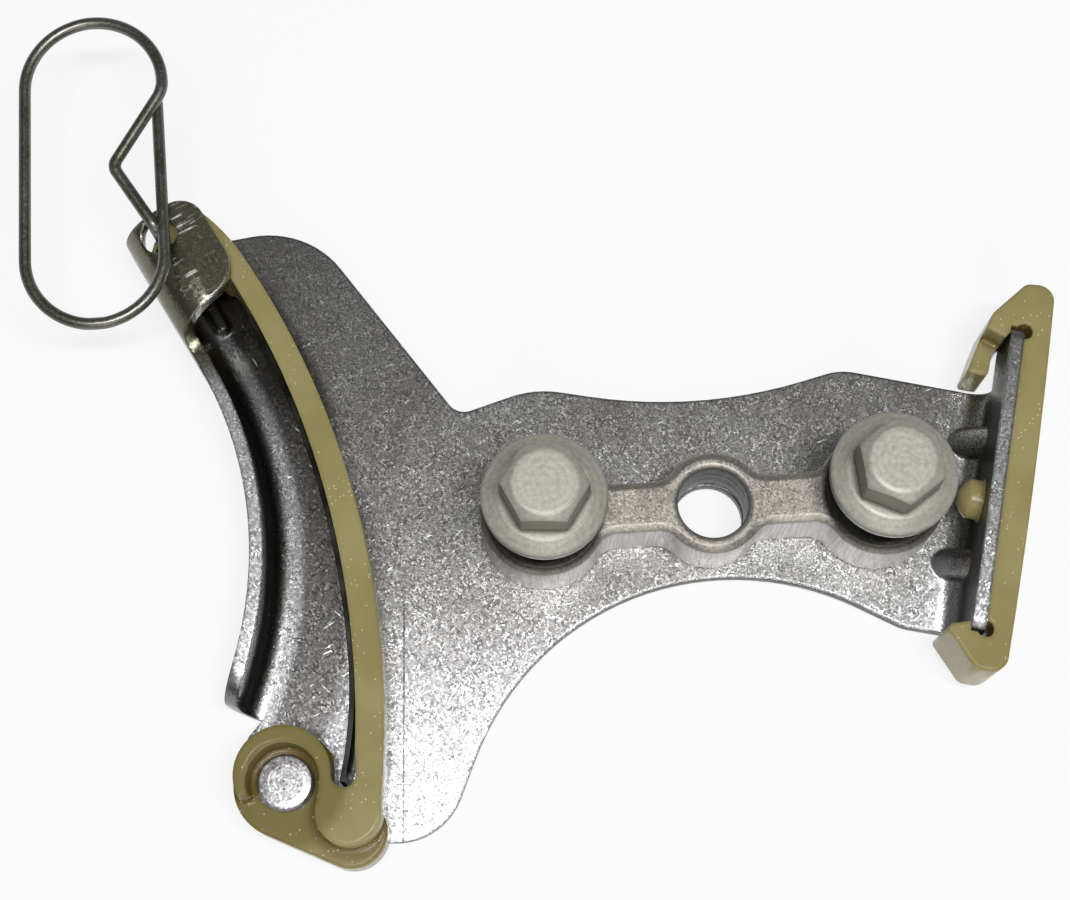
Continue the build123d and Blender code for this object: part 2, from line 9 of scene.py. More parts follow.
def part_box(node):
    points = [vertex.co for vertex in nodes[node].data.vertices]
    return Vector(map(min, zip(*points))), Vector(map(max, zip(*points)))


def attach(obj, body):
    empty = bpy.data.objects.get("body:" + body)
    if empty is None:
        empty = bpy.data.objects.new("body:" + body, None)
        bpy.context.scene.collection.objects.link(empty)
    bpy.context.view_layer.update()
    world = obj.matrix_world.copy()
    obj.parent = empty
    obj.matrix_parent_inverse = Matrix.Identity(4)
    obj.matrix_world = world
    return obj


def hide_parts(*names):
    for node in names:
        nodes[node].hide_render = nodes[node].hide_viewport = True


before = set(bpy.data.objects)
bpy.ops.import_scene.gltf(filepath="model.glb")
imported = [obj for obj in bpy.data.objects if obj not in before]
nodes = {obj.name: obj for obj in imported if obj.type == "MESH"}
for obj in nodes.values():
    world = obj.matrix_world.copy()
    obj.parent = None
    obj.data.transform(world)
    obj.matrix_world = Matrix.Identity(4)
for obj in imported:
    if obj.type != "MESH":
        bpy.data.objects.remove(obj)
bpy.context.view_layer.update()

# Metres, in the frame of the CAD model: origin on the centre bore at the sheet's underside
MM = 0.001
floor_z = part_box("spacer_block")[0].z

# Camera, solved from faces of known height and slope in the photograph
TILT = 16.0                    # degrees from straight down
LENS_PX = 1990.0
PHOTO_WIDTH_PX = 1070.0
SENSOR_MM = 36.0
BOLT_LINE_TURN = 3.655         # degrees that the bolt line climbs to the right
CAMERA_HEIGHT = 266.3 * MM
EYE_RIGHT = -23.66 * MM        # from the bore's axis, along the picture's width
EYE_AHEAD = -66.04 * MM        # and along its height

turn = radians(-BOLT_LINE_TURN)
picture_right = Vector((cos(turn), sin(turn), 0))
picture_ahead = Vector((-sin(turn), cos(turn), 0))


def add_camera():
    look = picture_ahead * sin(radians(TILT)) - Vector((0, 0, cos(radians(TILT))))
    up = picture_right.cross(look)
    eye = picture_right * EYE_RIGHT + picture_ahead * EYE_AHEAD
    eye.z = CAMERA_HEIGHT
    data = bpy.data.cameras.new("camera")
    data.sensor_width = SENSOR_MM
    data.lens = LENS_PX / PHOTO_WIDTH_PX * SENSOR_MM
    data.clip_start = 0.01
    data.clip_end = 20
    camera = bpy.data.objects.new("camera", data)
    axes = Matrix((picture_right, up, -look)).transposed()
    camera.matrix_world = Matrix.Translation(eye) @ axes.to_4x4()
    bpy.context.scene.collection.objects.link(camera)
    bpy.context.scene.camera = camera


# ---- Writing shader nodes ----


def paint(red, green, blue):
    """A colour given as it shows on a screen, 0 to 255, in the shader's linear numbers."""
    shown = (value / 255 for value in (red, green, blue))
    linear = [v / 12.92 if v <= 0.04045 else ((v + 0.055) / 1.055) ** 2.4 for v in shown]
    return (*linear, 1.0)


def feed(tree, socket, value):
    """Links a socket, or sets a plain value."""
    if isinstance(value, bpy.types.NodeSocket):
        tree.links.new(value, socket)
    elif value is not None:
        socket.default_value = value


def place(tree, kind, sockets=None, **settings):
    made = tree.nodes.new(kind)
    for name, value in settings.items():
        setattr(made, name, value)
    for name, value in (sockets or {}).items():
        feed(tree, made.inputs[name], value)
    return made


def sums(tree, operation, first, second=None, third=None):
    made = place(tree, "ShaderNodeMath", operation=operation)
    for socket, value in zip(made.inputs, (first, second, third)):
        feed(tree, socket, value)
    return made.outputs[0]


SCALE_SOCKET = 3               # of a vector math node


def vectors(tree, operation, first, second=None, scale=None):
    made = place(tree, "ShaderNodeVectorMath", operation=operation)
    feed(tree, made.inputs[0], first)
    feed(tree, made.inputs[1], second)
    feed(tree, made.inputs[SCALE_SOCKET], scale)
    return made.outputs["Value" if operation in ("DOT_PRODUCT", "LENGTH") else "Vector"]


def fade(tree, value, low, high, start=0.0, end=1.0):
    """start below low, end above high, and a smooth change between."""
    made = place(tree, "ShaderNodeMapRange", interpolation_type="SMOOTHSTEP")
    for name, number in (
        ("Value", value),
        ("From Min", low),
        ("From Max", high),
        ("To Min", start),
        ("To Max", end),
    ):
        feed(tree, made.inputs[name], number)
    return made.outputs["Result"]


# The Mix node's sockets for each kind of value: factor, the two values and the result
MIX_COLOUR = (0, 6, 7, 2)
MIX_NUMBER = (0, 2, 3, 0)


def mix(tree, kind, sockets, values):
    made = place(tree, "ShaderNodeMix", data_type=kind)
    *takes, gives = sockets
    for socket, value in zip(takes, values):
        feed(tree, made.inputs[socket], value)
    return made.outputs[gives]


def tint(tree, amount, under, over):
    return mix(tree, "RGBA", MIX_COLOUR, (amount, under, over))


def tint_value(tree, amount, under, over):
    """The same mix for numbers."""
    return mix(tree, "FLOAT", MIX_NUMBER, (amount, under, over))


def mix_shaders(tree, amount, under, over):
    made = place(tree, "ShaderNodeMixShader", {"Fac": amount})
    tree.links.new(under.outputs[0], made.inputs[1])
    tree.links.new(over.outputs[0], made.inputs[2])
    return made.outputs[0]


def noise(tree, where, scale, detail=2.0, roughness=0.5):
    sockets = {"Vector": where, "Scale": scale, "Detail": detail, "Roughness": roughness}
    return place(tree, "ShaderNodeTexNoise", sockets).outputs["Fac"]


def above(tree, value, limit, soft=0.6):
    return fade(tree, value, limit - soft, limit + soft)


def below(tree, value, limit, soft=0.6):
    return fade(tree, value, limit - soft, limit + soft, 1.0, 0.0)


def between(tree, value, low, high, soft=0.6):
    return both(tree, above(tree, value, low, soft), below(tree, value, high, soft))


def both(tree, *masks):
    """Every mask at once."""
    return reduce(lambda joined, mask: sums(tree, "MULTIPLY", joined, mask), masks)


def either(tree, *masks):
    """Any of the masks."""
    return reduce(lambda joined, mask: sums(tree, "MAXIMUM", joined, mask), masks)


def two_tone(tree, value, low, high, first, second):
    """The first colour below low, the second above high."""
    return tint(tree, fade(tree, value, low, high), paint(*first), paint(*second))


def coats(tree, colour, *rows):
    """Lays coats over a colour in turn; each row is a mask, its strength and the coat's colour."""
    for mask, strength, coat in rows:
        colour = tint(tree, both(tree, mask, strength), colour, paint(*coat))
    return colour


def new_group(name, takes, gives):
    """A shader node group: takes and gives are (name, socket kind, value) rows."""
    group = bpy.data.node_groups.new(name, "ShaderNodeTree")
    for in_out, rows in (("INPUT", takes), ("OUTPUT", gives)):
        for label, kind, *value in rows:
            socket = group.interface.new_socket(label, in_out=in_out, socket_type=kind)
            if value:
                socket.default_value = value[0]
    given = group.nodes.new("NodeGroupInput").outputs
    result = group.nodes.new("NodeGroupOutput").inputs
    return group, given, result


def use(tree, group, **sockets):
    """Places a group in a material; sockets are named with _ for a space."""
    made = place(tree, "ShaderNodeGroup", node_tree=group)
    for name, value in sockets.items():
        feed(tree, made.inputs[name.replace("_", " ")], value)
    return made.outputs


NUMBER = "NodeSocketFloat"
VECTOR = "NodeSocketVector"


# ---- Finishes that several materials share ----


def make_sparkle():
    """Fine facets tilted at random, as tumbled or sintered metal has."""
    group, given, result = new_group(
        "sparkle",
        [("Where", VECTOR), ("Grain", NUMBER, 0.35), ("Tilt", NUMBER, 0.3)],
        [("Normal", VECTOR), ("Shade", NUMBER)],
    )
    scale = sums(group, "DIVIDE", 1.0 / MM, given["Grain"])
    cells = place(group, "ShaderNodeTexVoronoi", {"Vector": given["Where"], "Scale": scale})
    centred = vectors(group, "SUBTRACT", cells.outputs["Color"], (0.5, 0.5, 0.5))
    patches = noise(group, given["Where"], sums(group, "DIVIDE", scale, 5.0), 3.0)
    strength = sums(group, "MULTIPLY", given["Tilt"], fade(group, patches, 0.35, 0.65, 0.35, 1.0))
    tilted = vectors(group, "SCALE", centred, scale=strength)
    facing = place(group, "ShaderNodeNewGeometry").outputs["Normal"]
    normal = vectors(group, "NORMALIZE", vectors(group, "ADD", facing, tilted))
    feed(group, result["Normal"], normal)
    shade = noise(group, given["Where"], scale, 2.0, 0.6)
    feed(group, result["Shade"], shade)
    return group


def make_scratches():
    """Short straight scratches, all about one way, on some of the surface."""
    group, given, result = new_group(
        "scratches",
        [
            ("Where", VECTOR),
            ("Angle", NUMBER, 0.5),
            ("Length", NUMBER, 8.0),
            ("Width", NUMBER, 0.6),
            ("Share", NUMBER, 0.3),
        ],
        [("Mask", NUMBER)],
    )
    slow = place(group, "ShaderNodeTexNoise", {"Vector": given["Where"], "Scale": 0.08 / MM})
    centred = vectors(group, "SUBTRACT", slow.outputs["Color"], (0.5, 0.5, 0.5))
    bent = vectors(group, "ADD", given["Where"], vectors(group, "SCALE", centred, scale=4 * MM))
    turned = place(group, "ShaderNodeVectorRotate", rotation_type="Z_AXIS")
    feed(group, turned.inputs["Vector"], bent)
    feed(group, turned.inputs["Angle"], sums(group, "MULTIPLY", given["Angle"], -1.0))
    along = sums(group, "DIVIDE", 1.0 / MM, given["Length"])
    across = sums(group, "DIVIDE", 1.0 / MM, given["Width"])
    stretch = place(group, "ShaderNodeCombineXYZ", {"X": along, "Y": across, "Z": across})
    stretched = vectors(group, "MULTIPLY", turned.outputs[0], stretch.outputs[0])
    cells = place(group, "ShaderNodeTexVoronoi", {"Vector": stretched, "Scale": 1.0})
    line = fade(group, cells.outputs["Distance"], 0.09, 0.2, 1.0, 0.0)
    pick = place(group, "ShaderNodeSeparateColor", {"Color": cells.outputs["Color"]})
    chosen = sums(group, "LESS_THAN", pick.outputs["Red"], given["Share"])
    bright = fade(group, pick.outputs["Green"], 0.0, 1.0, 0.35, 1.0)
    feed(group, result["Mask"], both(group, line, chosen, bright))
    return group


def make_edges():
    """White within a rounding's reach of an outward edge."""
    group, given, result = new_group(
        "edges",
        [("Where", VECTOR), ("Reach", NUMBER, 0.4)],
        [("Mask", NUMBER), ("Normal", VECTOR)],
    )
    reach = sums(group, "MULTIPLY", given["Reach"], MM)
    rounded = place(group, "ShaderNodeBevel", {"Radius": reach}, samples=4)
    facing = place(group, "ShaderNodeNewGeometry").outputs["Normal"]
    turned = vectors(group, "DOT_PRODUCT", rounded.outputs[0], facing)
    worn = noise(group, given["Where"], 0.9 / MM, 3.0, 0.6)
    edge = fade(group, turned, 0.8, 0.985, 1.0, 0.0)
    feed(group, result["Mask"], both(group, edge, fade(group, worn, 0.3, 0.6, 0.35, 1.0)))
    feed(group, result["Normal"], rounded.outputs[0])
    return group


def make_brushing():
    """Close parallel lines, in patches, as rubbing one way leaves them."""
    group, given, result = new_group(
        "brushing",
        [("Where", VECTOR), ("Angle", NUMBER, 0.4), ("Pitch", NUMBER, 0.5)],
        [("Mask", NUMBER)],
    )
    turned = place(group, "ShaderNodeVectorRotate", rotation_type="Z_AXIS")
    feed(group, turned.inputs["Vector"], given["Where"])
    feed(group, turned.inputs["Angle"], sums(group, "MULTIPLY", given["Angle"], -1.0))
    drawn = vectors(group, "MULTIPLY", turned.outputs[0], (0.05, 1.0, 1.0))
    lines = noise(group, drawn, sums(group, "DIVIDE", 1.0 / MM, given["Pitch"]), 2.0, 0.6)
    patches = noise(group, given["Where"], 0.35 / MM, 2.0)
    strong = fade(group, lines, 0.52, 0.66)
    feed(group, result["Mask"], both(group, strong, fade(group, patches, 0.4, 0.6)))
    return group


def make_rings():
    """Turning marks round an upright axis."""
    group, given, result = new_group(
        "rings",
        [("Where", VECTOR), ("Centre", VECTOR), ("Pitch", NUMBER, 0.4)],
        [("Mask", NUMBER)],
    )
    moved = vectors(group, "SUBTRACT", given["Where"], given["Centre"])
    flat = vectors(group, "MULTIPLY", moved, (1.0, 1.0, 0.0))
    reach = vectors(group, "LENGTH", flat)
    turns = sums(group, "DIVIDE", reach, sums(group, "MULTIPLY", given["Pitch"], MM / (2 * pi)))
    wander = sums(group, "MULTIPLY", noise(group, given["Where"], 0.5 / MM), 2.5)
    wave = sums(group, "SINE", sums(group, "ADD", turns, wander))
    feed(group, result["Mask"], fade(group, wave, -1.0, 1.0))
    return group


def make_recesses():
    """White in a piece's own inner corners and pockets."""
    group, given, result = new_group(
        "recesses",
        [("Reach", NUMBER, 3.0)],
        [("Mask", NUMBER)],
    )
    reach = sums(group, "MULTIPLY", given["Reach"], MM)
    closed = place(
        group, "ShaderNodeAmbientOcclusion", {"Distance": reach}, samples=8, only_local=True
    )
    feed(group, result["Mask"], fade(group, closed.outputs["AO"], 0.45, 0.97, 1.0, 0.0))
    return group


sparkle = make_sparkle()
scratches = make_scratches()
edges = make_edges()
brushing = make_brushing()
rings = make_rings()
recesses = make_recesses()


def new_material(name):
    """An empty material with its shader, its tree and where each point is on the object."""
    material = bpy.data.materials.new(name)
    material.use_nodes = True
    tree = material.node_tree
    tree.nodes.clear()
    shader = place(tree, "ShaderNodeBsdfPrincipled")
    output = place(tree, "ShaderNodeOutputMaterial")
    tree.links.new(shader.outputs[0], output.inputs["Surface"])
    where = place(tree, "ShaderNodeTexCoord").outputs["Object"]
    return material, tree, shader, where


def bump(tree, height, distance, strength=1.0, normal=None):
    made = place(
        tree, "ShaderNodeBump", {"Height": height, "Distance": distance, "Strength": strength}
    )
    feed(tree, made.inputs["Normal"], normal)
    return made.outputs[0]


def axes_of(tree, where):
    """The three coordinates of a point, in millimetres."""
    parts = place(
        tree, "ShaderNodeSeparateXYZ", {"Vector": vectors(tree, "SCALE", where, scale=1 / MM)}
    )
    return parts.outputs["X"], parts.outputs["Y"], parts.outputs["Z"]


def from_axis(tree, where, x, y):
    """Distance in millimetres from an upright axis."""
    moved = vectors(tree, "SUBTRACT", where, (x * MM, y * MM, 0.0))
    flat = vectors(tree, "MULTIPLY", moved, (1.0, 1.0, 0.0))
    return sums(tree, "DIVIDE", vectors(tree, "LENGTH", flat), MM)


def over_rim(tree, grain, rim):
    """The grain's normal, turned at the edges as a rounding turns it."""
    facing = place(tree, "ShaderNodeNewGeometry").outputs["Normal"]
    rounding = vectors(tree, "SUBTRACT", rim["Normal"], facing)
    return vectors(tree, "NORMALIZE", vectors(tree, "ADD", grain["Normal"], rounding))


def upright(tree):
    """White on walls, black on faces that look up or down."""
    facing = place(tree, "ShaderNodeNewGeometry").outputs["Normal"]
    rise = place(tree, "ShaderNodeSeparateXYZ", {"Vector": facing}).outputs["Z"]
    return fade(tree, sums(tree, "ABSOLUTE", rise), 0.25, 0.6, 1.0, 0.0)


def middle(node):
    low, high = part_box(node)
    return (Vector(low) + Vector(high)) / 2


def finish_shader(tree, shader, **sockets):
    """Feeds the shader's sockets, named with _ for a space."""
    for name, value in sockets.items():
        feed(tree, shader.inputs[name.replace("_", " ")], value)


# ---- Materials ----

# Millimetres taken off each node's edges
EDGE_ROUNDING = {
    "bracket": 0.25,
    "spacer_block": 0.3,
    "bolt_left": 0.35,
    "bolt_right": 0.35,
    "tensioner_blade": 0.5,
    "guide_shoe": 0.5,
    "pivot_pin": 0.15,
    "leaf_spring": 0.08,
}

# Places on the bracket, in millimetres
SHEET_TOP = 1.8
WALL_FOOT = 2.4                # the rail's and the flange's walls start at this height
PLATE_LOW_END = -16.0          # the plate is painted lighter in front of this, a painted highlight where the lamp reflects
RUB_LINE = (-42.0, -8.7, 0.05)  # a fine worn line on the plate: x, y and lean
RAIL_AXIS = (-114.1, -1.3)     # centre of the curved rail
RAIL_SIDE = -50.0              # the rail and the shoe are left of this
RAIL_TOP = 10.8
FOLD_FOOT = 57.0               # radius at which the rail's fold meets the plate
FOLD_LOW = 2.2                 # the rail's inner wall is painted dark above this height, a painted shade
BOW_REACH = 66.0               # radius up to which the plate is dark beside the rail
BOW_SMOOTH = 19.0              # behind this it is smooth too
HOOD_FROM = 24.0               # the rail is as dark as the hood behind this
HOOD_RIGHT = -58.0             # the hood is left of this
HOOD_START = 11.6              # height at which the hood rolls over from the rail
HOOD_LOW = 14.3                # only the hood is higher than this
HOOD_TOP = 15.0                # and only its upper face is higher than this
FLANGE_FOOT = 36.5             # inner face of the right flange on the bolt line
FLANGE_LEAN = 14.5             # degrees
FLANGE_FOLD = (-4.4, -2.4)     # its fold, which carries a painted highlight, measured out from that face
FLANGE_FOLD_END = -7.0         # which shows in front of this
FLANGE_WALL = -2.6             # its wall starts here, measured the same way
GUIDE_SIDE = 30.0              # the flange and the guide are right of this
FLANGE_TOP = 13.4              # and there only the flange's top is higher than this

SHEET_COLOURS = {
    "dull": (152, 150, 147),
    "bright": (178, 177, 176),
    "fleck": (106, 104, 101),
    "painted_low_highlight": (194, 193, 195),
    "bow": (88, 86, 83),
    "smooth": (72, 70, 66),
    "folded": (80, 79, 76),
    "flange_wall_shade": (62, 60, 57),
    "fold_highlight": (200, 200, 202),
    "rail_top": (214, 214, 216),
    "hood": (152, 146, 124),
    "hood_side": (84, 82, 70),
    "flange_top": (206, 206, 208),
    "cut": (46, 44, 42),
    "rolled": (80, 78, 76),
    "scratch": (226, 226, 224),
    "rub": (60, 58, 58),
}


def make_steel_sheet():
    """Tumbled steel, with painted highlights along its folds and painted shade on its inner walls
    and edges, dark and brushed on the hood.
    """
    material, tree, shader, where = new_material("steel_sheet")
    shades = SHEET_COLOURS
    x, y, z = axes_of(tree, where)
    wall = upright(tree)
    flat = sums(tree, "SUBTRACT", 1.0, wall)
    grain = use(tree, sparkle, Where=where, Grain=0.26, Tilt=0.17)
    rim = use(tree, edges, Where=where, Reach=0.6)
    first = use(tree, scratches, Where=where, Angle=0.45, Length=6.0, Width=0.6, Share=0.4)
    second = use(tree, scratches, Where=where, Angle=-0.9, Length=6.0, Width=0.5, Share=0.12)
    scratched = either(tree, first["Mask"], second["Mask"])
    clouds = noise(tree, where, 0.09 / MM, 4.0, 0.6)
    steel = two_tone(tree, clouds, 0.3, 0.7, shades["dull"], shades["bright"])
    fleck = fade(tree, grain["Shade"], 0.4, 0.65)
    lit_low_end = below(tree, y, PLATE_LOW_END, 14.0)

    # Round the rail, inside its bow and on the hood
    left = below(tree, x, RAIL_SIDE, 1.0)
    from_rail = from_axis(tree, where, *RAIL_AXIS)
    bow = both(tree, below(tree, from_rail, BOW_REACH, 1.5), left, below(tree, z, WALL_FOOT))
    smooth = both(tree, above(tree, y, BOW_SMOOTH, 8.0), bow)
    fold_band = between(tree, from_rail, FOLD_FOOT - 0.3, FOLD_FOOT + 1.6, 0.8)
    inside_fold = below(tree, from_rail, FOLD_FOOT - 0.6)
    # Painted shade on the rail's inner wall
    folded = both(tree, inside_fold, between(tree, z, FOLD_LOW, RAIL_TOP - 0.9, 0.4))
    # Painted highlight along the rail's top edge
    rail_top = both(
        tree,
        between(tree, z, RAIL_TOP - 0.6, RAIL_TOP + 0.6, 0.3),
        left,
        below(tree, y, HOOD_FROM - 2.0, 3.0),
    )
    behind_hood = both(tree, above(tree, z, WALL_FOOT), above(tree, y, HOOD_FROM, 5.0))
    over_shoe = above(tree, z, HOOD_START, 0.5)
    hood = both(tree, either(tree, over_shoe, behind_hood), below(tree, x, HOOD_RIGHT))
    hood_side = both(tree, hood, below(tree, z, HOOD_TOP - 0.1))

    # At the right flange
    lean = radians(FLANGE_LEAN)
    from_foot = vectors(tree, "SUBTRACT", where, (FLANGE_FOOT * MM, 0.0, 0.0))
    outwards = (cos(lean) / MM, -sin(lean) / MM, 0.0)
    flange_out = vectors(tree, "DOT_PRODUCT", from_foot, outwards)
    flange_fold = both(
        tree, between(tree, flange_out, *FLANGE_FOLD), below(tree, y, FLANGE_FOLD_END, 2.0)
    )
    # Painted shade on the flange's inner wall
    flange_wall_shade = both(
        tree,
        above(tree, flange_out, FLANGE_WALL),
        between(tree, z, WALL_FOOT, FLANGE_TOP - 0.2),
        wall,
    )
    flange_top = both(tree, above(tree, z, FLANGE_TOP, 0.3), above(tree, x, GUIDE_SIDE))
    # Painted highlights along the foot of the rail's fold and the flange's fold
    fold_highlight = either(tree, both(tree, fold_band, left), flange_fold)

    # Painted shade on the sheet's cut edges and along its rounded edges, and a painted highlight
    # on the hood's edges
    cut = both(tree, wall, below(tree, z, SHEET_TOP - 0.05, 0.15))
    rolled = both(tree, rim["Mask"], flat, below(tree, z, HOOD_LOW, 0.3))
    hood_edge_highlight = both(tree, rim["Mask"], flat, above(tree, z, HOOD_LOW, 0.3), 0.6)

    # Lines on the hood and the worn line on the plate
    rubbed = use(tree, brushing, Where=where, Angle=0.44, Pitch=0.5)
    lines = both(tree, above(tree, z, HOOD_TOP, 0.5), rubbed["Mask"])
    rub_x, rub_y, rub_lean = RUB_LINE
    drift = sums(tree, "MULTIPLY_ADD", sums(tree, "SUBTRACT", y, rub_y), rub_lean, rub_x)
    off_line = sums(tree, "ABSOLUTE", sums(tree, "SUBTRACT", x, drift))
    rub = both(tree, below(tree, off_line, 0.12, 0.08), below(tree, y, rub_y, 2.0))
    # bright holds the scratches, the hood's brushed lines and a painted highlight on the hood's
    # edges
    bright = either(tree, scratched, lines, hood_edge_highlight)

    colour = coats(
        tree,
        steel,
        (fleck, 1.0, shades["fleck"]),
        # Painted highlight: the lower plate is lighter where the lamp reflects
        (lit_low_end, 0.62, shades["painted_low_highlight"]),
        (bow, 0.85, shades["bow"]),
        (smooth, 0.7, shades["smooth"]),
        (folded, 0.6, shades["folded"]),
        (flange_wall_shade, 0.6, shades["flange_wall_shade"]),
        (fold_highlight, 0.6, shades["fold_highlight"]),
        (rail_top, 0.8, shades["rail_top"]),
        (hood, 0.85, shades["hood"]),
        (hood_side, 0.75, shades["hood_side"]),
        (flange_top, 0.2, shades["flange_top"]),
        # Painted shade on the sheet's cut edges
        (cut, 0.9, shades["cut"]),
        # Painted shade: a dark reflection along the sheet's rounded edges
        (rolled, 0.75, shades["rolled"]),
        (bright, 1.0, shades["scratch"]),
        (rub, 0.7, shades["rub"]),
    )

    sheen = fade(tree, grain["Shade"], 0.3, 0.8, 0.31, 0.41)
    polished = either(tree, smooth, folded, hood)
    roughness = tint_value(tree, both(tree, polished, 0.8), sheen, 0.27)
    roughness = tint_value(tree, lines, roughness, 0.55)
    relief = sums(tree, "SUBTRACT", grain["Shade"], both(tree, bright, 0.5))
    finish_shader(
        tree,
        shader,
        Base_Color=colour,
        Metallic=1.0,
        Roughness=roughness,
        Normal=bump(tree, relief, 0.04 * MM, 0.22, over_rim(tree, grain, rim)),
    )
    return material


# Places on the block, in millimetres
BORE_RINGS = ((7.4, 8.2), (4.8, 6.5), (2.3, 3.1))  # heights of dark rings in the centre bore
BORE_RADIUS = 5.3
UNDER_HEAD = 8.0               # a painted shadow darkens the seats within this of each bolt's axis

BLOCK_COLOURS = {
    "pore": (124, 119, 112),
    "sand": (162, 157, 149),
    "worn_top": (178, 173, 165),
    "head_shadow": (28, 26, 23),
    "streak": (176, 174, 172),
    "side": (204, 203, 203),
    "bore": (78, 76, 73),
    "bore_ring": (10, 10, 9),
    "rim": (232, 230, 226),
    "corner": (84, 78, 72),
}


def make_sintered_block():
    """Pressed powder metal: sandy on top, drawn in upright lines on its walls."""
    material, tree, shader, where = new_material("sintered_block")
    shades = BLOCK_COLOURS
    _, _, z = axes_of(tree, where)
    wall = upright(tree)
    grain = use(tree, sparkle, Where=where, Grain=0.22, Tilt=0.22)
    rim = use(tree, edges, Where=where, Reach=0.42)
    corner = use(tree, recesses, Reach=1.5)["Mask"]

    pores = noise(tree, where, 3.2 / MM, 3.0, 0.7)
    clouds = fade(tree, noise(tree, where, 0.3 / MM, 2.0), 0.35, 0.7)
    # Painted shadow of the bolt heads on the block's top
    heads = (middle("bolt_left") / MM, middle("bolt_right") / MM)
    near = (below(tree, from_axis(tree, where, head.x, head.y), UNDER_HEAD, 0.5) for head in heads)
    sand = two_tone(tree, pores, 0.35, 0.68, shades["pore"], shades["sand"])
    top = coats(
        tree,
        sand,
        (clouds, 0.4, shades["worn_top"]),
        (either(tree, *near), 0.96, shades["head_shadow"]),
    )

    drawn = vectors(tree, "MULTIPLY", where, (1.0, 1.0, 0.04))
    streaks = noise(tree, drawn, 4.0 / MM, 2.0)
    # Painted shade on the wall of the centre bore
    bore = both(tree, below(tree, from_axis(tree, where, 0.0, 0.0), BORE_RADIUS, 0.2), wall)
    rings_cut = either(tree, *(between(tree, z, low, high, 0.12) for low, high in BORE_RINGS))
    side = coats(
        tree,
        two_tone(tree, streaks, 0.3, 0.7, shades["streak"], shades["side"]),
        (bore, 0.95, shades["bore"]),
        (both(tree, bore, rings_cut), 0.95, shades["bore_ring"]),
    )

    colour = coats(
        tree,
        tint(tree, wall, top, side),
        # Painted highlight along the block's edges
        (rim["Mask"], 0.6, shades["rim"]),
        # Painted shade in the block's own inner corners
        (corner, 0.5, shades["corner"]),
    )
    relief = sums(tree, "ADD", sums(tree, "MULTIPLY", pores, 0.5), both(tree, streaks, wall))
    finish_shader(
        tree,
        shader,
        Base_Color=colour,
        Metallic=0.75,
        Roughness=fade(tree, pores, 0.3, 0.8, 0.4, 0.56),
        Normal=bump(tree, relief, 0.05 * MM, 0.5, over_rim(tree, grain, rim)),
    )
    return material


COATING_COLOURS = {
    "film": (160, 158, 147),
    "light_film": (182, 180, 170),
    "turned": (128, 126, 117),
    "dust": (206, 204, 194),
    "flank_shade": (92, 90, 78),
    "rim": (96, 95, 88),
    "corner": (70, 68, 60),
}


def make_bolt_coating():
    """Matt zinc flake: fine grain, faint turning marks, rubbed darker along the edges."""
    material, tree, shader, where = new_material("bolt_coating")
    shades = COATING_COLOURS
    x, _, _ = axes_of(tree, where)
    rim = use(tree, edges, Where=where, Reach=0.9)
    corner = use(tree, recesses, Reach=1.6)["Mask"]
    left, right = middle("bolt_left"), middle("bolt_right")
    left_marks = use(tree, rings, Where=where, Centre=left, Pitch=0.9)["Mask"]
    right_marks = use(tree, rings, Where=where, Centre=right, Pitch=0.9)["Mask"]
    turned = tint_value(tree, above(tree, x, 0.0), left_marks, right_marks)
    mottle = noise(tree, where, 1.6 / MM, 4.0, 0.7)
    fleck = noise(tree, where, 5.0 / MM, 2.0, 0.7)
    colour = coats(
        tree,
        two_tone(tree, mottle, 0.3, 0.7, shades["film"], shades["light_film"]),
        (turned, 0.16, shades["turned"]),
        (fade(tree, fleck, 0.55, 0.75), 0.5, shades["dust"]),
        # Painted shade on the heads' upright flanks
        (upright(tree), 0.75, shades["flank_shade"]),
        (rim["Mask"], 0.5, shades["rim"]),
        # Painted shade in the bolt's own inner corners
        (corner, 0.7, shades["corner"]),
    )
    finish_shader(
        tree,
        shader,
        Base_Color=colour,
        Metallic=0.4,
        Roughness=fade(tree, mottle, 0.3, 0.8, 0.4, 0.52),
        Normal=bump(tree, fleck, 0.03 * MM, 0.5, rim["Normal"]),
    )
    return material


# Places on the shoe and the guide, in millimetres
GUIDE_STEP = (-2.3, 0.35)      # a shallow band across the guide's top, from y to y
FOOT_TOP = 8.4                 # the shoe's foot is thinner below this height
FOOT_RIGHT = -40.0             # the foot is left of this
FOOT_END = -34.0               # and in front of this
FOOT_AMBER = (-60.0, -46.0)    # and its painted shade grows from x to x
EYE_RADIUS = 8.4               # the pivot eye is darker within this of its axis

NYLON_COLOURS = {
    "cream": (144, 134, 88),
    "light_cream": (155, 146, 101),
    "eye": (110, 100, 52),
    "foot": (112, 98, 42),
    "pocket_shade": (104, 80, 26),
    "speck": (232, 228, 206),
}


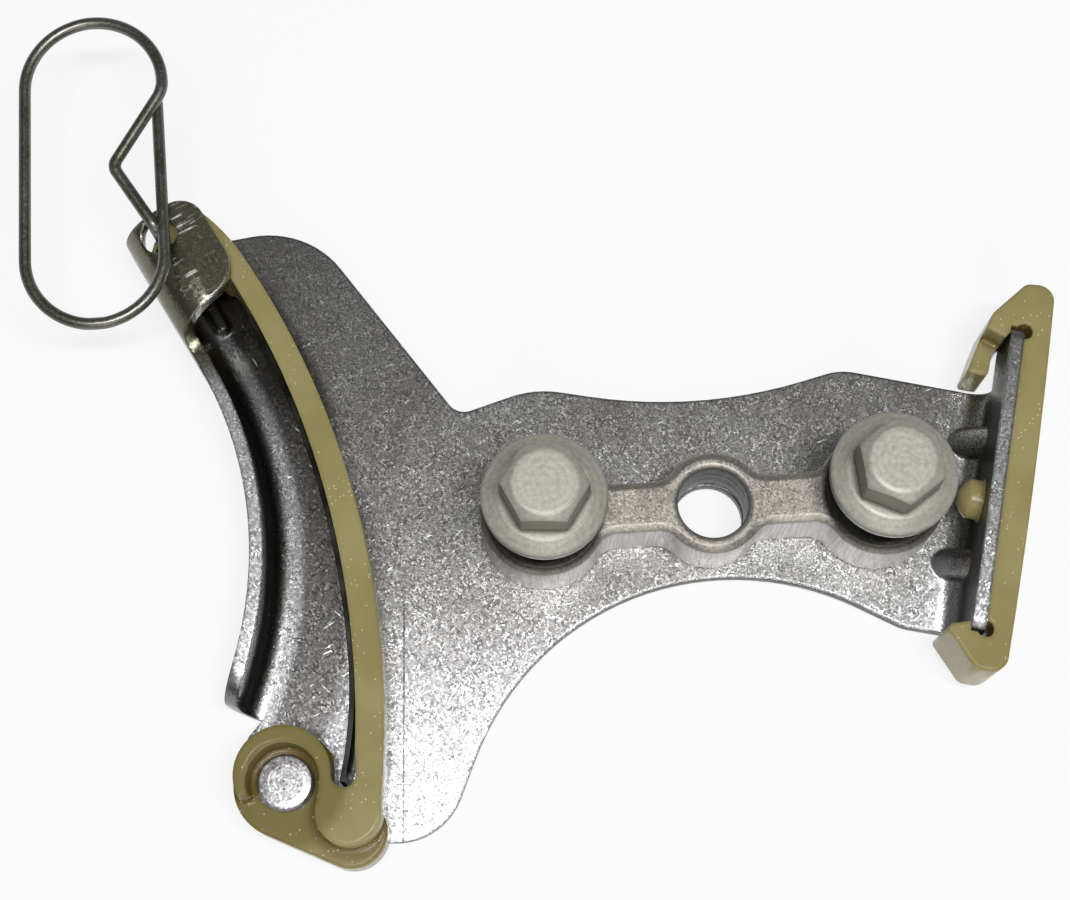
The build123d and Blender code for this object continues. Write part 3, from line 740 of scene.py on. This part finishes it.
def make_nylon():
    """Cream nylon with small white specks, and amber painted shade in its pockets and on its low
    foot.
    """
    material, tree, shader, where = new_material("nylon")
    shades = NYLON_COLOURS
    x, y, z = axes_of(tree, where)
    clouds = noise(tree, where, 0.12 / MM, 3.0)
    # Painted shade: amber in the piece's own pockets
    pocket_shade = fade(tree, use(tree, recesses, Reach=2.8)["Mask"], 0.0, 0.55)
    pivot = middle("pivot_pin") / MM
    eye = below(tree, from_axis(tree, where, pivot.x, pivot.y), EYE_RADIUS, 1.0)
    # Painted shade on the shoe's low foot, darker and more amber
    foot = both(
        tree,
        below(tree, z, FOOT_TOP),
        below(tree, x, FOOT_RIGHT),
        below(tree, y, FOOT_END, 5.0),
        fade(tree, x, *FOOT_AMBER, 0.15, 0.6),
    )

    cells = place(tree, "ShaderNodeTexVoronoi", {"Vector": where, "Scale": 1.7 / MM})
    pick = place(tree, "ShaderNodeSeparateColor", {"Color": cells.outputs["Color"]})
    dot = fade(tree, cells.outputs["Distance"], 0.1, 0.22, 1.0, 0.0)
    share = fade(tree, noise(tree, where, 0.16 / MM, 1.0), 0.42, 0.62, 0.05, 0.6)
    specks = both(tree, dot, sums(tree, "LESS_THAN", pick.outputs["Red"], share))

    colour = coats(
        tree,
        two_tone(tree, clouds, 0.3, 0.7, shades["cream"], shades["light_cream"]),
        (eye, 0.7, shades["eye"]),
        (foot, 1.0, shades["foot"]),
        (pocket_shade, 0.75, shades["pocket_shade"]),
        (specks, 0.65, shades["speck"]),
    )

    skin = noise(tree, where, 3.0 / MM, 2.0)
    rim = use(tree, edges, Where=where, Reach=0.9)
    step = both(tree, between(tree, y, *GUIDE_STEP, 0.2), above(tree, x, GUIDE_SIDE), 0.6)
    relief = sums(tree, "ADD", sums(tree, "MULTIPLY", skin, 0.04), step)
    finish_shader(
        tree,
        shader,
        Base_Color=colour,
        Roughness=fade(tree, skin, 0.3, 0.8, 0.17, 0.24),
        Specular_IOR_Level=0.24,
        Subsurface_Weight=0.35,
        Subsurface_Radius=(1.6, 1.2, 0.5),
        Subsurface_Scale=1.2 * MM,
        Normal=bump(tree, relief, 0.08 * MM, 0.4, rim["Normal"]),
    )
    return material


STRIP_COLOURS = {"blued": (40, 38, 35), "light": (54, 52, 49), "rim": (96, 94, 90)}


def make_spring_steel():
    """Blued strip, drawn along its length."""
    material, tree, shader, where = new_material("spring_steel")
    shades = STRIP_COLOURS
    drawn = vectors(tree, "MULTIPLY", where, (0.15, 0.15, 1.0))
    streaks = noise(tree, drawn, 2.0 / MM, 3.0)
    rim = use(tree, edges, Where=where, Reach=0.12)
    colour = coats(
        tree,
        two_tone(tree, streaks, 0.3, 0.7, shades["blued"], shades["light"]),
        (rim["Mask"], 0.4, shades["rim"]),
    )
    finish_shader(
        tree,
        shader,
        Base_Color=colour,
        Metallic=1.0,
        Roughness=fade(tree, streaks, 0.3, 0.7, 0.3, 0.42),
        Normal=bump(tree, streaks, 0.02 * MM, 0.3),
    )
    return material


PIN_COLOURS = {
    "grey": (132, 130, 131),
    "light": (186, 184, 186),
    "ring": (96, 95, 98),
    "dimple": (110, 108, 108),
    "rim": (214, 214, 216),
}
DIMPLE_RADIUS = 0.45           # millimetres


def make_pin_steel():
    """Bright turned steel with rings and a small mark at its centre."""
    material, tree, shader, where = new_material("pin_steel")
    shades = PIN_COLOURS
    centre = middle("pivot_pin")
    grain = use(tree, sparkle, Where=where, Grain=0.24, Tilt=0.2)
    rim = use(tree, edges, Where=where, Reach=0.3)
    turned = use(tree, rings, Where=where, Centre=centre, Pitch=0.45)["Mask"]
    marks = noise(tree, where, 2.2 / MM, 3.0, 0.65)
    reach = from_axis(tree, where, centre.x / MM, centre.y / MM)
    colour = coats(
        tree,
        two_tone(tree, marks, 0.3, 0.7, shades["grey"], shades["light"]),
        (turned, 0.25, shades["ring"]),
        (below(tree, reach, DIMPLE_RADIUS, 0.2), 0.6, shades["dimple"]),
        (rim["Mask"], 0.5, shades["rim"]),
    )
    relief = sums(tree, "ADD", sums(tree, "MULTIPLY", turned, 0.12), marks)
    finish_shader(
        tree,
        shader,
        Base_Color=colour,
        Metallic=0.9,
        Roughness=fade(tree, marks, 0.3, 0.8, 0.36, 0.5),
        Normal=bump(tree, relief, 0.04 * MM, 0.5, grain["Normal"]),
    )
    return material


WIRE_COLOURS = {"dull": (96, 95, 83), "light": (116, 115, 108), "fleck": (148, 147, 140)}


def make_clip_wire():
    """Dull drawn wire with a fine rough skin."""
    material, tree, shader, where = new_material("clip_wire")
    shades = WIRE_COLOURS
    marks = noise(tree, where, 2.4 / MM, 4.0, 0.65)
    patches = noise(tree, where, 0.15 / MM, 2.0)
    colour = coats(
        tree,
        two_tone(tree, patches, 0.35, 0.65, shades["dull"], shades["light"]),
        (fade(tree, marks, 0.4, 0.75), 0.5, shades["fleck"]),
    )
    finish_shader(
        tree,
        shader,
        Base_Color=colour,
        Metallic=0.9,
        Roughness=fade(tree, marks, 0.3, 0.7, 0.3, 0.42),
        Normal=bump(tree, marks, 0.03 * MM, 0.5),
    )
    return material


WELD = 0.002                   # corners nearer than this, in millimetres, are one
SHARP = 32.0                   # degrees at which an edge is rounded


def soften(node, width):
    """Small real roundings along the solid's sharp edges, and smooth shading between them."""
    piece = nodes[node]
    weld = piece.modifiers.new("weld", "WELD")
    weld.merge_threshold = WELD * MM
    rounding = piece.modifiers.new("rounding", "BEVEL")
    rounding.width = width * MM
    rounding.segments = 3
    rounding.limit_method = "ANGLE"
    rounding.angle_limit = radians(SHARP)
    rounding.miter_outer = "MITER_ARC"
    rounding.harden_normals = True
    rounding.use_clamp_overlap = True


def dress_nodes():
    finishes = {
        "steel_sheet": make_steel_sheet(),
        "sintered_block": make_sintered_block(),
        "bolt_coating": make_bolt_coating(),
        "nylon": make_nylon(),
        "spring_steel": make_spring_steel(),
        "pin_steel": make_pin_steel(),
        "clip_wire": make_clip_wire(),
    }
    wearers = {
        "bracket": "steel_sheet",
        "spacer_block": "sintered_block",
        "bolt_left": "bolt_coating",
        "bolt_right": "bolt_coating",
        "tensioner_blade": "nylon",
        "guide_shoe": "nylon",
        "leaf_spring": "spring_steel",
        "pivot_pin": "pin_steel",
        "locking_clip": "clip_wire",
    }
    for node, width in EDGE_ROUNDING.items():
        soften(node, width)
    for node, finish in wearers.items():
        data = nodes[node].data
        data.materials.clear()
        data.materials.append(finishes[finish])
    return finishes


# ---- Own pieces ----

# Millimetres
THREAD_PITCH = 1.25
THREAD_ROOT = 3.85
THREAD_CREST = 4.2
THREAD_RUN_OUT = 3.87          # the crest's radius at the ridge's two ends
THREAD_LOW = 0.0
THREAD_HIGH = 15.8
THREAD_STEPS = 40              # sections in each turn
THREAD_HALF_ROOT = 0.45        # half widths of the ridge, as parts of the pitch
THREAD_HALF_CREST = 0.08
WIRE_LONG = 3.0                # runs of wire longer than this are cut up
WIRE_CUTS = 11
WIRE_FULLER = 0.03             # makes up what the rounding takes off the wire
CLIP_SEAM_X = -80.4
CLIP_SEAM_REACH = (0.7, 2.5)   # along x to each side, and along y from the clip's lowest y


def add_piece(name, mesh, material):
    mesh.materials.append(material)
    piece = bpy.data.objects.new(name, mesh)
    bpy.context.scene.collection.objects.link(piece)
    return piece


def add_thread(bolt, metal):
    """The rolled thread on a bolt's shank: one ridge wound round it, run out at both ends."""
    axis = middle(bolt)
    count = round((THREAD_HIGH - THREAD_LOW) / THREAD_PITCH * THREAD_STEPS)
    points = []
    for step in range(count + 1):
        angle = 2 * pi * step / THREAD_STEPS
        z = THREAD_LOW + THREAD_PITCH * step / THREAD_STEPS
        run_out = min(1.0, step / THREAD_STEPS, (count - step) / THREAD_STEPS)
        crest = THREAD_RUN_OUT + (THREAD_CREST - THREAD_RUN_OUT) * run_out
        section = (
            (THREAD_ROOT, -THREAD_HALF_ROOT),
            (crest, -THREAD_HALF_CREST),
            (crest, THREAD_HALF_CREST),
            (THREAD_ROOT, THREAD_HALF_ROOT),
        )
        for radius, rise in section:
            x = axis.x + radius * MM * cos(angle)
            y = axis.y + radius * MM * sin(angle)
            points.append((x, y, (z + rise * THREAD_PITCH) * MM))
    faces = [(3, 2, 1, 0), tuple(4 * count + corner for corner in range(4))]
    for step in range(count):
        for corner in range(4):
            near, far = 4 * step + corner, 4 * step + (corner + 1) % 4
            faces.append((near, far, far + 4, near + 4))
    mesh = bpy.data.meshes.new(bolt + "_thread")
    mesh.from_pydata(points, [], faces)
    piece = add_piece(bolt + "_thread", mesh, metal)
    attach(piece, "frame")


def drop_seam(shape):
    """Joins the short rings where the clip's lower arc is made of two."""
    low = min(point.co.y for point in shape.verts)
    across, up = (reach * MM for reach in CLIP_SEAM_REACH)
    near = {
        point
        for point in shape.verts
        if abs(point.co.x - CLIP_SEAM_X * MM) < across and point.co.y < low + up
    }
    rings_round = [
        edge
        for edge in shape.edges
        if near.issuperset(edge.verts)
        and abs(edge.verts[0].co.x - edge.verts[1].co.x) < 0.5 * edge.calc_length()
    ]
    bmesh.ops.dissolve_edges(shape, edges=rings_round, use_verts=True)


def add_clip_wire(metal):
    """The clip with a round section, made from its own many-sided solid."""
    solid = nodes["locking_clip"].data
    shape = bmesh.new()
    shape.from_mesh(solid)
    bmesh.ops.remove_doubles(shape, verts=shape.verts, dist=WELD * MM)
    bmesh.ops.join_triangles(
        shape,
        faces=shape.faces,
        angle_face_threshold=radians(8),
        angle_shape_threshold=radians(180),
    )
    drop_seam(shape)
    long_runs = [edge for edge in shape.edges if edge.calc_length() > WIRE_LONG * MM]
    bmesh.ops.subdivide_edges(shape, edges=long_runs, cuts=WIRE_CUTS, use_grid_fill=True)
    for part in (*shape.faces, *shape.edges):
        part.smooth = True
    mesh = bpy.data.meshes.new("clip_wire")
    shape.to_mesh(mesh)
    shape.free()
    piece = add_piece("clip_wire", mesh, metal)
    rounded = piece.modifiers.new("rounded", "SUBSURF")
    rounded.levels = rounded.render_levels = 1
    full = piece.modifiers.new("full", "DISPLACE")
    full.mid_level = 0.0
    full.strength = WIRE_FULLER * MM
    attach(piece, "clip")
    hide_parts("locking_clip")


# ---- Studio ----

FLOOR_HALF = 1.5               # metres
FLOOR_PAPER = (236, 236, 235)
FLOOR_GLOW = 0.8               # share of white light where the floor is seen or reflected
WHITE = (1.0, 1.0, 1.0, 1.0)

# Name, place, what it points at, width and depth in metres, and power in watts
LAMPS = (
    ("lamp_front", (0.03, -0.095, 0.6), (0.03, -0.04, 0.0), (0.34, 0.05), 3.1),
    ("lamp_south", (0.0, -0.75, 0.55), (0.0, 0.0, 0.0), (0.5, 0.5), 1.4),
)
SKY = (0.21, 0.09)             # light from the horizon and from straight above


def make_floor_material():
    """Pale paper that keeps the shadow, and is near white where it is seen or reflected."""
    material, tree, shader, _ = new_material("floor_paper")
    finish_shader(tree, shader, Base_Color=paint(*FLOOR_PAPER), Roughness=0.9)
    path = place(tree, "ShaderNodeLightPath").outputs
    seen = sums(tree, "MAXIMUM", path["Is Camera Ray"], path["Is Glossy Ray"])
    seen = sums(tree, "MAXIMUM", seen, path["Is Transmission Ray"])
    glow = place(tree, "ShaderNodeEmission", {"Color": WHITE, "Strength": 1.0})
    blended = mix_shaders(tree, sums(tree, "MULTIPLY", seen, FLOOR_GLOW), shader, glow)
    output = next(node for node in tree.nodes if node.type == "OUTPUT_MATERIAL")
    tree.links.new(blended, output.inputs["Surface"])
    return material


def add_floor():
    mesh = bpy.data.meshes.new("floor")
    signs = ((-1, -1), (1, -1), (1, 1), (-1, 1))
    corners = [(x * FLOOR_HALF, y * FLOOR_HALF, floor_z) for x, y in signs]
    mesh.from_pydata(corners, [], [(0, 1, 2, 3)])
    floor = add_piece("floor", mesh, make_floor_material())


def add_lamp(name, spot, aim, size, power):
    """A soft rectangle of light."""
    data = bpy.data.lights.new(name, "AREA")
    data.shape = "RECTANGLE"
    data.size, data.size_y = size
    data.energy = power
    lamp = bpy.data.objects.new(name, data)
    away = Vector(spot) - Vector(aim)
    side = Vector((1, 0, 0))
    axes = Matrix((side, away.cross(side).normalized(), away.normalized())).transposed()
    lamp.matrix_world = Matrix.Translation(spot) @ axes.to_4x4()
    bpy.context.scene.collection.objects.link(lamp)


def light_studio():
    for lamp in LAMPS:
        add_lamp(*lamp)
    world = bpy.data.worlds.new("studio")
    world.use_nodes = True
    tree = world.node_tree
    tree.nodes.clear()
    path = place(tree, "ShaderNodeLightPath").outputs
    direction = place(tree, "ShaderNodeTexCoord").outputs["Generated"]
    height = place(tree, "ShaderNodeSeparateXYZ", {"Vector": direction}).outputs["Z"]
    level = fade(tree, height, 0.2, 0.95, *SKY)
    soft = place(tree, "ShaderNodeBackground", {"Color": WHITE, "Strength": level})
    white = place(tree, "ShaderNodeBackground", {"Color": WHITE, "Strength": 1.0})
    output = place(tree, "ShaderNodeOutputWorld")
    blended = mix_shaders(tree, path["Is Camera Ray"], soft, white)
    tree.links.new(blended, output.inputs["Surface"])
    bpy.context.scene.world = world


add_camera()
add_floor()
light_studio()
finishes = dress_nodes()
add_thread("bolt_left", finishes["bolt_coating"])
add_thread("bolt_right", finishes["bolt_coating"])
add_clip_wire(finishes["clip_wire"])

bpy.context.scene.view_settings.view_transform = "Standard"
